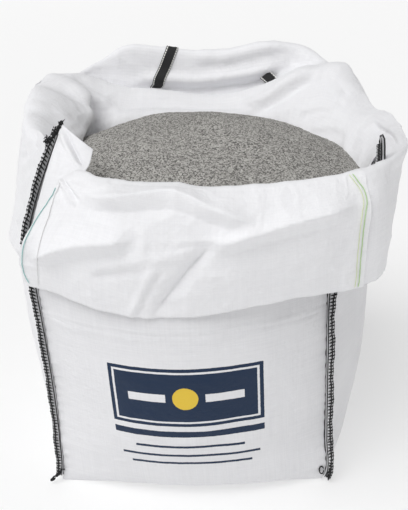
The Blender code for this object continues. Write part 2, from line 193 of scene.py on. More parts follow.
def folded(grid, folds, rows=slice(None)):
    """The lift of folds that are drawn in the frame, on the given rows of a grid.

    Each is its kind, half width in the frame, height in millimetres and path. A step stands out on
    the left of its path and falls in on the right, a facet rises to its path and drops off on the
    right, and a ridge and a sharper crease stand out all along theirs.
    """
    lift = np.zeros(grid.shape[:2])
    places = shown(grid[rows])
    for kind, width, height, path in folds:
        away, along = beside(places, path)
        away = away / width
        shape = np.exp(-(away**2) / 2)
        if kind == "step":
            shape = -away * shape * 1.65
        elif kind == "facet":
            shape = np.where(away < 0, np.exp(away * 0.8), (1 - np.clip(away / 1.8, 0, 1)) ** 1.3)
        elif kind == "crease":
            shape = np.exp(-np.abs(away))
        fade = np.clip(np.minimum(along, 1 - along) / 0.22, 0, 1)
        lift[rows] += height / 1000 * shape * fade * fade * (3 - 2 * fade)
    return lift


def raise_by(grid, lift):
    return grid + facing(grid) * np.asarray(lift)[..., None]


def sheet_mesh(name, grid, look, thickness=CLOTH, offset=-1.0):
    """An object from a grid of points, with a map in metres along the cloth's threads."""
    rows, columns = grid.shape[:2]
    mesh = bpy.data.meshes.new(name)
    mesh.vertices.add(rows * columns)
    mesh.vertices.foreach_set("co", grid.reshape(-1).astype(np.float32))
    index = np.arange(rows * columns).reshape(rows, columns)
    quads = np.stack([index[:-1, :-1], index[:-1, 1:], index[1:, 1:], index[1:, :-1]], axis=-1).reshape(-1, 4)
    mesh.loops.add(quads.size)
    mesh.polygons.add(len(quads))
    mesh.loops.foreach_set("vertex_index", quads.reshape(-1).astype(np.int32))
    mesh.polygons.foreach_set("loop_start", np.arange(0, quads.size, 4, dtype=np.int32))
    mesh.update(calc_edges=True)
    across = np.linalg.norm(np.diff(grid, axis=1), axis=-1).mean(axis=0)
    down = np.linalg.norm(np.diff(grid, axis=0), axis=-1).mean(axis=1)
    u = np.concatenate([[0], np.cumsum(across)])
    v = np.concatenate([[0], np.cumsum(down)])
    place = np.stack(np.broadcast_arrays(u[None, :], v[:, None]), axis=-1).reshape(-1, 2)
    threads = mesh.uv_layers.new(name="threads")
    threads.data.foreach_set("uv", place[quads.reshape(-1)].reshape(-1).astype(np.float32))
    mesh.shade_smooth()
    made = bpy.data.objects.new(name, mesh)
    bpy.context.scene.collection.objects.link(made)
    mesh.materials.append(look)
    if thickness:
        solid = made.modifiers.new("thickness", "SOLIDIFY")
        solid.thickness = thickness
        solid.offset = offset
    return made


# Materials


class Field:
    """A socket of numbers in a material, used in ordinary arithmetic."""

    def __init__(self, socket):
        self.socket = socket

    def maths(self, operation, other=None, flipped=False):
        made = self.socket.id_data.nodes.new("ShaderNodeMath")
        made.operation = operation
        for slot, value in zip(made.inputs, (other, self) if flipped else (self, other)):
            if value is not None:
                plug(value, slot)
        return Field(made.outputs[0])

    def __add__(self, other):
        return self.maths("ADD", other)

    def __sub__(self, other):
        return self.maths("SUBTRACT", other)

    def __rsub__(self, other):
        return self.maths("SUBTRACT", other, flipped=True)

    def __mul__(self, other):
        return self.maths("MULTIPLY", other)

    def __truediv__(self, other):
        return self.maths("DIVIDE", other)

    def __pow__(self, other):
        return self.maths("POWER", other)

    def __gt__(self, other):
        return self.maths("GREATER_THAN", other)

    def __lt__(self, other):
        return self.maths("LESS_THAN", other)

    def __mod__(self, other):
        return self.maths("MODULO", other)

    def __abs__(self):
        return self.maths("ABSOLUTE")

    __radd__, __rmul__ = __add__, __mul__


def plug(value, slot):
    if isinstance(value, Field):
        slot.id_data.links.new(value.socket, slot)
    elif slot.type == "RGBA" and len(value) == 3:
        slot.default_value = (*value, 1.0)
    else:
        slot.default_value = value


class Look:
    """A material on its way: node() adds any node, and shade() sets the surface."""

    def __init__(self, name):
        self.material = bpy.data.materials.new(name)
        self.material.use_nodes = True
        self.tree = self.material.node_tree
        self.surface = self.tree.nodes["Principled BSDF"]

    def node(self, kind, settings=None, sockets=None, out=0):
        made = self.tree.nodes.new(kind)
        for key, value in (settings or {}).items():
            if key == "stops":
                ramp = made.color_ramp
                while len(ramp.elements) < len(value):
                    ramp.elements.new(0.5)
                for element, (place, colour) in zip(ramp.elements, value):
                    element.position = place
                    element.color = (*colour, 1.0)
            else:
                setattr(made, key, value)
        for key, value in (sockets or {}).items():
            plug(value, made.inputs[key])
        return Field(made.outputs[out])

    def mix(self, share, first, second, blend="MIX"):
        settings = {"data_type": "RGBA", "blend_type": blend}
        return self.node("ShaderNodeMix", settings, {0: share, 6: first, 7: second}, out=2)

    def noise(self, place, scale, detail=2.0, roughness=0.5):
        sockets = {"Vector": place, "Scale": scale, "Detail": detail, "Roughness": roughness}
        return self.node("ShaderNodeTexNoise", None, sockets)

    def bump(self, height, distance, strength=1.0, normal=None):
        sockets = {"Height": height, "Distance": distance, "Strength": strength}
        if normal is not None:
            sockets["Normal"] = normal
        return self.node("ShaderNodeBump", None, sockets)

    def shade(self, **sockets):
        for key, value in sockets.items():
            plug(value, self.surface.inputs[key.replace("_", " ")])
        return self.material


TAPE = 0.0028
STRAP = 0.042


def printed(look, tone, ink):
    """A generic print on the front: a bordered plain block over three plain rules, in one ink."""
    place = look.tree.nodes.new("ShaderNodeSeparateXYZ")
    look.tree.links.new(look.node("ShaderNodeTexCoord", out=3).socket, place.inputs[0])
    x, y, z = (Field(out) for out in place.outputs)
    ragged = look.noise(look.node("ShaderNodeTexCoord", out=3), 160.0, 3.0) * 0.0016

    def block(middle, half_wide, half_high):
        inside = abs(x - PRINT_X) + ragged
        return (half_wide > inside) * (half_high > abs(z - middle) + ragged)

    shape = block(0.376, 0.199, 0.090) - block(0.376, 0.189, 0.080) + block(0.376, 0.183, 0.074)
    for middle, half_wide, half_high in PRINT_BARS:
        shape = shape + block(middle, half_wide, half_high)
    pale = block(0.376, 0.150, 0.013) - block(0.376, 0.052, 0.013)
    spot = 0.034 > (abs(x - PRINT_X) ** 2 + abs(z - 0.376) ** 2) ** 0.5 + ragged
    tone = look.mix((shape - pale) * (0.0 > y), tone, ink)
    return look.mix(spot * (0.0 > y), tone, (0.72, 0.50, 0.05))


PRINT_X = 0.009
PRINT_BARS = ((0.259, 0.199, 0.0110), (0.212, 0.146, 0.0050), (0.178, 0.186, 0.0050), (0.146, 0.164, 0.0050))


def woven(name, colour, shade, ink=None):
    """Cloth woven of flat plastic tapes: a fine plain weave with slack and tight tapes."""
    look = Look(name)
    threads = look.node("ShaderNodeUVMap", {"uv_map": "threads"})
    parts = look.tree.nodes.new("ShaderNodeSeparateXYZ")
    look.tree.links.new(threads.socket, parts.inputs[0])
    u, v = Field(parts.outputs[0]), Field(parts.outputs[1])
    warp = 1 - abs(u / TAPE % 1 * 2 - 1) ** 3
    weft = 1 - abs(v / TAPE % 1 * 2 - 1) ** 3
    checks = look.node("ShaderNodeTexChecker", None, {"Vector": threads, "Scale": 1 / TAPE}, out=1)
    weave = warp * checks + weft * (1 - checks)
    stretched = look.node("ShaderNodeMapping", None, {"Vector": threads, "Scale": (6.0, 300.0, 1.0)})
    upright = look.node("ShaderNodeMapping", None, {"Vector": threads, "Scale": (300.0, 6.0, 1.0)})
    streaks = look.noise(stretched, 1.0, 3.0) + look.noise(upright, 1.0, 3.0)
    cloudy = look.noise(look.node("ShaderNodeTexCoord", None, None, out=3), 9.0, 3.0)
    tone = look.mix((streaks - 0.8) * 0.9, shade, colour)
    tone = look.mix((cloudy - 0.35) * 0.7, tone, colour)
    # The tapes' edges and the gaps between them are painted darker grey: painted shade in the hollows of the weave.
    tone = look.mix((1 - weave) * 0.12, tone, (0.45, 0.45, 0.47))
    if ink:
        tone = printed(look, tone, ink)
    height = weave * 0.6 + streaks * 0.5
    crumple = abs(look.noise(look.node("ShaderNodeTexCoord", None, None, out=3), 34.0, 4.0, 0.6) - 0.5)
    return look.shade(
        Base_Color=tone,
        Roughness=0.62 - streaks * 0.08,
        Normal=look.bump(height, 0.0006, 0.55, look.bump(0.5 - crumple, 0.006, 0.6)),
        Sheen_Weight=0.05,
        Specular_IOR_Level=0.3,
    )


def dust_look():
    """Fine crushed granite: pale and dark grains under a fine darker mottle; the darkest specks are partly the grains'
    own colour and partly painted shade between grains.
    """
    look = Look("granite dust grains")
    place = look.node("ShaderNodeTexCoord", None, None, out=3)
    grain = look.node("ShaderNodeTexVoronoi", {"feature": "F1"}, {"Vector": place, "Scale": 320.0}, out=1)
    fine = look.noise(place, 420.0, 2.0, 0.6)
    tint = look.node("ShaderNodeSeparateColor", None, {"Color": grain})
    # Grain tones run from near black to pale: the darkest stand partly for dark grains and partly for painted shade
    # between the grains.
    stops = ((0.0, (0.03, 0.028, 0.026)), (0.24, (0.12, 0.116, 0.11)), (0.42, (0.31, 0.30, 0.282)), (0.95, (0.60, 0.588, 0.558)))
    speck = look.node("ShaderNodeValToRGB", {"stops": stops}, {"Fac": tint})
    patch = look.noise(place, 7.0, 3.0)
    tone = look.mix(patch * 0.25, speck, (0.33, 0.32, 0.30))
    tone = look.mix((fine - 0.35) * 0.9, tone, (0.24, 0.232, 0.22))
    height = look.noise(place, 330.0, 2.0, 0.7)
    return look.shade(Base_Color=tone, Roughness=0.95, Normal=look.bump(height, 0.002, 0.8))


def webbing_look():
    """Ribbed black polyester webbing."""
    look = Look("black webbing weave")
    threads = look.node("ShaderNodeUVMap", {"uv_map": "threads"})
    parts = look.tree.nodes.new("ShaderNodeSeparateXYZ")
    look.tree.links.new(threads.socket, parts.inputs[0])
    u, v = Field(parts.outputs[0]), Field(parts.outputs[1])
    ribs = abs(u / 0.003 % 1 * 2 - 1) + abs(v / 0.0016 % 1 * 2 - 1) * 0.6
    fluff = look.noise(threads, 900.0, 3.0)
    tone = look.mix(fluff * ribs * 0.5, (0.006, 0.006, 0.007), (0.035, 0.035, 0.038))
    edge = abs(abs(u - STRAP / 2) - (STRAP / 2 - 0.004))
    tone = look.mix((0.0016 > edge) * (0.75 > v / 0.008 % 1), tone, (0.86, 0.86, 0.83))
    return look.shade(Base_Color=tone, Roughness=0.8, Normal=look.bump(ribs + fluff, 0.0006, 0.7))


def thread_look(name, colour, fleck):
    """Twisted sewing thread."""
    look = Look(name)
    place = look.node("ShaderNodeTexCoord", None, None, out=3)
    fibre = look.noise(place, 900.0, 3.0, 0.7)
    tone = look.mix(fibre * 0.6, colour, fleck)
    return look.shade(Base_Color=tone, Roughness=0.85, Normal=look.bump(fibre, 0.0006, 0.8))


WHITE = woven("woven white body", (0.86, 0.86, 0.87), (0.74, 0.74, 0.76))
PRINTED = woven("printed woven white body", (0.83, 0.83, 0.845), (0.72, 0.72, 0.74), (0.004, 0.019, 0.055))
SKIRT_WHITE = woven("woven white skirt", (0.885, 0.885, 0.90), (0.80, 0.80, 0.82))
DUST = dust_look()
WEBBING = webbing_look()
BLACK = thread_look("black thread", (0.006, 0.006, 0.007), (0.035, 0.035, 0.036))
PALE = thread_look("pale stitching", (0.72, 0.72, 0.70), (0.5, 0.5, 0.48))
GREEN = thread_look("green edge thread", (0.50, 0.68, 0.36), (0.34, 0.52, 0.24))
TEAL = thread_look("teal edge thread", (0.30, 0.58, 0.55), (0.16, 0.40, 0.38))
GREY = thread_look("grey stitching", (0.58, 0.58, 0.58), (0.72, 0.72, 0.70))
YELLOW = thread_look("pale yellow edge thread", (0.74, 0.80, 0.52), (0.60, 0.68, 0.40))


# The filled body

CORNERS = ("front_left", "front_right", "back_right", "back_left")
CORNER_LINES = {
    "front_left": (
        (-0.394, -0.384, 0.003), (-0.386, -0.382, 0.035), (-0.377, -0.378, 0.150), (-0.370, -0.378, 0.400),
        (-0.370, -0.384, 0.640), (-0.371, -0.382, 0.760), (-0.350, -0.378, 0.850), (-0.332, -0.372, 0.915),
    ),
    "front_right": (
        (0.366, -0.366, 0.002), (0.376, -0.376, 0.035), (0.374, -0.376, 0.150), (0.372, -0.378, 0.400),
        (0.374, -0.384, 0.640), (0.388, -0.390, 0.760), (0.408, -0.394, 0.850), (0.430, -0.392, 0.905),
    ),
    "back_right": (
        (0.366, 0.366, 0.002), (0.376, 0.376, 0.035), (0.374, 0.374, 0.150), (0.372, 0.372, 0.400),
        (0.376, 0.376, 0.620), (0.384, 0.382, 0.740), (0.386, 0.382, 0.830), (0.380, 0.372, 0.900),
    ),
    "back_left": (
        (-0.366, 0.366, 0.002), (-0.376, 0.376, 0.035), (-0.374, 0.374, 0.150), (-0.372, 0.372, 0.400),
        (-0.376, 0.376, 0.620), (-0.380, 0.382, 0.740), (-0.382, 0.382, 0.840), (-0.378, 0.376, 0.910),
    ),
}
WALL_LINES = {
    "front": (
        (0.0, -0.386, 0.002), (0.0, -0.438, 0.035), (0.0, -0.480, 0.150), (0.0, -0.510, 0.400),
        (0.0, -0.508, 0.620), (0.005, -0.503, 0.740), (0.010, -0.498, 0.820), (0.015, -0.494, 0.880),
    ),
    "right": (
        (0.386, 0.0, 0.002), (0.438, 0.0, 0.035), (0.480, 0.0, 0.150), (0.512, 0.0, 0.400),
        (0.514, 0.0, 0.620), (0.514, 0.0, 0.740), (0.518, 0.0, 0.815), (0.522, 0.0, 0.870),
    ),
    "back": (
        (0.0, 0.386, 0.002), (0.0, 0.438, 0.035), (0.0, 0.480, 0.150), (0.0, 0.512, 0.400),
        (0.0, 0.510, 0.620), (0.0, 0.496, 0.740), (0.0, 0.480, 0.830), (0.0, 0.470, 0.920),
    ),
    "left": (
        (-0.386, 0.0, 0.002), (-0.438, 0.0, 0.035), (-0.480, 0.0, 0.150), (-0.514, 0.0, 0.400),
        (-0.530, 0.0, 0.620), (-0.514, 0.0, 0.760), (-0.492, 0.0, 0.870), (-0.474, 0.0, 0.940),
    ),
}
WALLS = ("front", "right", "back", "left")
EARS = {
    "front_left": (0.058, 0.085, 0.105),
    "front_right": (0.060, 0.050, 0.060),
    "back_right": (0.060, 0.030, 0.080),
    "back_left": (-0.060, 0.000, 0.120),
    ("left", "front_left"): (0.025, 0.050, 0.088),
}
FRONT_TOP = 5.9
EAR_FOOT = 5.0
EAR_REACH = 0.13
TOP_LEVEL = 7.0
LEVEL_STEPS = 40
LINES = {name: smooth_along(line, LEVEL_STEPS) for name, line in {**CORNER_LINES, **WALL_LINES}.items()}


def on_line(name, level):
    """Points of one upright guide line at an array of levels."""
    line = LINES[name]
    place = np.clip(np.asarray(level, dtype=float) * LEVEL_STEPS, 0, len(line) - 1.001)
    low = place.astype(int)
    part = (place - low)[..., None]
    return line[low] * (1 - part) + line[low + 1] * part


def wall_grid(wall, across, levels):
    """The inside face of one wall as a grid, its columns running from its first corner."""
    index = WALLS.index(wall)
    first, second = CORNERS[index], CORNERS[(index + 1) % 4]
    levels = np.asarray(levels, dtype=float)
    u = np.asarray(across)[None, :, None]
    start, middle, end = (on_line(name, levels)[:, None, :] for name in (first, wall, second))
    grid = (1 - u) * (1 - 2 * u) * start + 4 * u * (1 - u) * middle + u * (2 * u - 1) * end
    rise = (np.clip((levels - EAR_FOOT) / (TOP_LEVEL - EAR_FOOT), 0, None) ** 2)[:, None, None]
    for corner, away in ((first, u), (second, 1 - u)):
        ear = EARS.get((wall, corner), EARS[corner])
        reach = 0.36 if (wall, corner) in EARS else EAR_REACH
        grid = grid + np.array(ear) * rise * np.exp(-((away / reach) ** 2))
    if wall == "left":
        hollow = np.interp(levels, (3.2, 3.9, 4.2, 4.55, 4.9, 5.4), (0, 0.018, 0.010, -0.012, 0.010, 0.030))[:, None]
        grid[..., 0] += hollow * np.exp(-(((u[..., 0] - 0.78) / 0.16) ** 2))
    return grid


SEAM_GAP = 0.003


def cloth_creases(grid, amount=1.0):
    """The gentle dents and fine crumples that filled woven cloth has everywhere."""
    lift = 0.0035 * ripple(grid, 0.16, 1) + 0.0016 * ripple(grid, 0.07, 2)
    sharp = 1 - np.abs(ripple(grid, 0.05, 3))
    lift += 0.0009 * sharp**3 + 0.0004 * ripple(grid, 0.018, 4)
    return amount * lift


def crinkles(grid):
    """The small sharp creases of loose cloth that has been handled."""
    lift = 0.0
    for size, height, seed in ((0.075, 0.0026, 21), (0.038, 0.0014, 22), (0.020, 0.0006, 23)):
        warped = grid + 0.3 * size * ripple(grid, size * 1.6, seed + 5)[..., None]
        lift = lift + height * ((1 - np.abs(ripple(warped, size, seed))) ** 5 - 0.3)
    return lift


def puckers(u, height):
    """Short sideways wrinkles where the cloth is drawn in along its two sewn edges."""
    edge = np.minimum(u, 1 - u)[None, :]
    wave = np.sin(height[:, None] * 2 * np.pi / 0.034 + 2.0 * np.sin(height[:, None] * 21.0))
    return 0.0012 * wave * np.exp(-((edge / 0.035) ** 2))


# The pleats at the left panel's top, which run down from the corner seam.
LEFT_FOLDS = (
    ("ridge", 1.6, 3.0, ((48, 142), (38, 144), (30, 149), (23, 156))),
    ("ridge", 1.6, -3.0, ((46, 147), (36, 150), (28, 156), (22, 164))),
    ("ridge", 1.8, 2.6, ((44, 153), (34, 158), (26, 166), (20, 176))),
    ("ridge", 1.8, -2.2, ((42, 160), (32, 167), (25, 176), (20, 188))),
    ("ridge", 2.0, 2.2, ((40, 170), (31, 178), (24, 190), (20, 205))),
    ("step", 3.0, 5.0, ((20, 226), (26, 219), (32, 214))),
)


def body_panels():
    edge = SEAM_GAP / 0.8
    even = np.linspace(0, 1, 131)
    across = edge + (1 - 2 * edge) * (0.65 * even + 0.35 * (0.5 - 0.5 * np.cos(np.pi * even)))
    foot = np.linspace(0, 1.2, 26)[:-1]
    levels = np.concatenate([foot, np.linspace(1.2, TOP_LEVEL, 195)]) * FRONT_TOP / TOP_LEVEL
    front = wall_grid("front", across, levels)[::-1]
    back = wall_grid("back", across[::-1], np.concatenate([foot, np.linspace(1.2, TOP_LEVEL, 100)]))
    left = front[-1, 0], back[0, 0]
    right = front[-1, -1], back[0, -1]
    steps = np.linspace(0, 1, 22)[1:-1, None, None]
    base = front[-1][None] * (1 - steps) + back[0][None] * steps
    height = np.concatenate([front[:, 0, 2], np.zeros(len(base)), back[:, 0, 2]])
    grid = np.concatenate([front, base, back])
    standing = np.clip(grid[..., 2] / 0.06, 0, 1)
    lift = (cloth_creases(grid) + puckers(across, height)) * standing
    for level, size in ((0.540, 0.0016), (0.549, 0.0026), (0.568, 0.0024)):
        lift += size * np.exp(-(((grid[..., 2] - level) / 0.0032) ** 2)) * (grid[..., 1] < -0.3)
    grid = raise_by(grid, lift)
    grid[..., 2] = np.maximum(grid[..., 2], 0.0017)
    panel = sheet_mesh("front_base_back_cloth", grid, PRINTED)
    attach(panel, "root")
    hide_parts("front_base_back_panel")
    for name, wall in (("right_side", "right"), ("left_side", "left")):
        levels = np.concatenate([np.linspace(0.2, 1.2, 20)[:-1], np.linspace(1.2, TOP_LEVEL, 116)])
        side = wall_grid(wall, across, levels)[::-1]
        lift = (cloth_creases(side) + puckers(across, side[:, 0, 2])) * np.clip(side[..., 2] / 0.06, 0, 1)
        if wall == "left":
            lift += folded(side, LEFT_FOLDS) * (side[..., 1] < 0) + 0.0022 * np.exp(-((np.arange(len(side)) / 1.6) ** 2))[:, None]
        side = raise_by(side, lift)
        made = sheet_mesh(name + "_cloth", side, WHITE)
        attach(made, "root")
        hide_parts(name + "_panel")


def mouth_line(level, turns):
    """The inside of the walls at one level, as a ring of points with turns to each wall."""
    across = np.linspace(0, 1, turns, endpoint=False)
    return np.concatenate([wall_grid(wall, across, [level])[0] for wall in WALLS])


def heap():
    """The dust: a finely grained dome in the mouth, meeting the walls all round."""
    brim = mouth_line(5.2, 105)[:, :2] * 0.955
    share = np.linspace(0.0001, 1, 151)[:, None, None] ** 0.85
    flat = brim[None] * share
    grid = np.concatenate([flat, (HEAP_TOP - HEAP_FALL * (flat**2).sum(axis=-1))[..., None]], axis=-1)
    x, y = flat[..., 0], flat[..., 1]
    height = HEAP_SWELL * (np.sin(19 * x + 0.6) * np.cos(21 * y) + 0.6 * np.sin(13 * (x + y)))
    height += 0.0022 * ripple(grid, 0.045, 12) + 0.0012 * ripple(grid, 0.014, 13)
    grid[..., 2] += height + 0.0011 * rng.uniform(-1, 1, height.shape) * np.clip(share[..., 0] * 12, 0, 1)
    sides = np.repeat(grid[-1:], 3, axis=0)
    sides[..., 2] -= np.array((0.02, 0.06, 0.12))[:, None]
    sides[..., :2] *= 0.98
    grid = np.concatenate([grid, sides])
    grid = np.concatenate([grid, grid[:, :1]], axis=1)
    made = sheet_mesh("granite_dust_heap", grid, DUST, thickness=0)
    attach(made, "root")
    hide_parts("granite_dust")
    return made


# The skirt

# Each station of the front flap is its cloth from inside the rim to the hem: the crest, then four
# places down the flap and the hem, each as it shows in the frame and how far back it is.
FRONT_FLAP = (
    ((61.5, 180, -0.430), (52, 197, -0.452), (38, 218, -0.462), (22, 245, -0.462), (20.5, 264, -0.446), (29, 285.5, -0.425)),
    ((80, 171.5, -0.450), (76, 190, -0.478), (68, 215, -0.488), (58, 243, -0.490), (54, 268, -0.476), (57, 293.6, -0.455)),
    ((97, 178.0, -0.475), (97, 193, -0.505), (94, 218, -0.520), (90, 250, -0.525), (88, 279, -0.510), (90, 306, -0.488)),
    ((140, 187, -0.500), (140, 202, -0.530), (139, 228, -0.550), (138, 262, -0.552), (138, 292, -0.537), (140, 316.8, -0.514)),
    ((204, 190, -0.510), (204, 204, -0.538), (204, 229, -0.556), (204, 262, -0.556), (204, 291, -0.540), (204, 315.5, -0.518)),
    ((262, 187, -0.503), (262, 201, -0.530), (263, 226, -0.548), (264, 258, -0.548), (264, 284, -0.532), (265, 304.5, -0.508)),
    ((315, 180, -0.487), (317, 194, -0.512), (319, 217, -0.528), (319, 247, -0.525), (318, 274, -0.505), (318, 295.0, -0.478)),
    ((344, 174.8, -0.472), (349, 189, -0.494), (353, 209, -0.506), (349, 240, -0.498), (345, 268, -0.476), (343, 291.5, -0.450)),
    ((361, 170.0, -0.460), (367, 184, -0.480), (371.5, 205, -0.491), (368.5, 237, -0.484), (366, 264, -0.463), (364, 287.5, -0.436)),
)


# The folds of the front flap as they show in the frame.
FRONT_FOLDS = (
    ("facet", 7.5, 27.0, ((76, 190), (92, 196), (110, 198), (130, 198.5), (150, 197), (168, 196), (186, 199), (208, 208), (230, 215), (246, 221), (262, 228))),
    ("facet", 8.5, 31.0, ((206, 250), (217, 244), (231, 239.5), (245, 235), (260, 231), (273, 227), (290, 222), (305, 218), (320, 214), (335, 210), (350, 206), (362, 203))),
    ("crease", 7.5, -19.0, ((216, 244), (208, 251), (200, 260), (192, 269), (183, 280), (175, 290), (165, 302), (157, 312), (150, 320))),
    ("facet", 6.0, 4.5, ((150, 262), (162, 258), (176, 254), (190, 250), (204, 246))),
    ("step", 2.5, 1.8, ((168, 247), (180, 245.5), (195, 244), (210, 243), (225, 241))),
    ("facet", 9.0, 30.0, ((30, 262), (38, 256), (50, 249.5), (67, 246), (84, 243), (100, 241.5), (122, 240.5), (136, 239))),
    ("step", 5.5, 5.0, ((84, 274), (98, 272), (115, 270), (136, 267), (150, 266))),
    ("step", 3.5, 4.0, ((130, 322), (139, 306), (146, 291), (153, 279), (161, 268))),
    ("ridge", 2.0, 1.6, ((148, 289), (158, 284), (172, 278.5), (182, 275))),
    ("ridge", 1.3, 4.5, ((58, 177), (62, 183), (67, 191), (73, 201), (77, 207))),
    ("ridge", 1.4, -4.0, ((62, 177), (68, 186), (74, 195), (80, 204))),
    ("ridge", 1.2, 2.6, ((64, 178), (71, 186), (78, 194), (84, 200))),
    ("ridge", 1.2, -2.4, ((58, 181), (61, 190), (65, 200), (70, 210))),
    ("ridge", 1.2, 2.0, ((57, 182), (57, 193), (57, 205))),
    ("ridge", 2.2, 1.5, ((66, 178), (78, 182), (92, 186))),
    ("step", 5.0, 2.2, ((150, 296), (160, 300), (172, 303), (186, 303))),
    ("step", 6.0, 2.0, ((290, 268), (310, 263), (332, 256), (352, 250))),
)


def crest_rows(crest, inward, drop=0.085, lean=0.045):
    """The cloth just inside a crest: down into the mouth, and over the fold."""
    crest, inward = np.array(crest), np.array(inward)
    down = np.array((0, 0, -1.0))
    return [crest + inward * lean + down * drop, crest + inward * 0.012 + down * 0.02, crest]


def front_flap():
    columns = []
    for station in FRONT_FLAP:
        points = [seen(*place) for place in station]
        inward = -np.array((points[0][0], points[0][1], 0.0))
        inward /= np.linalg.norm(inward)
        lip = points[0] - inward * 0.012 + np.array((0, 0, -0.006))
        columns.append([*crest_rows(points[0], inward), lip, *points[1:]])
    knots = np.array(columns).transpose(1, 0, 2)
    grid = net(knots, 17, 34)
    grid = raise_by(grid, cloth_creases(grid) + crinkles(grid) + folded(grid, FRONT_FOLDS, slice(34, None)))
    made = sheet_mesh("skirt_front_cloth", grid, SKIRT_WHITE)
    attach(made, "root")
    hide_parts("top_skirt")
    return grid


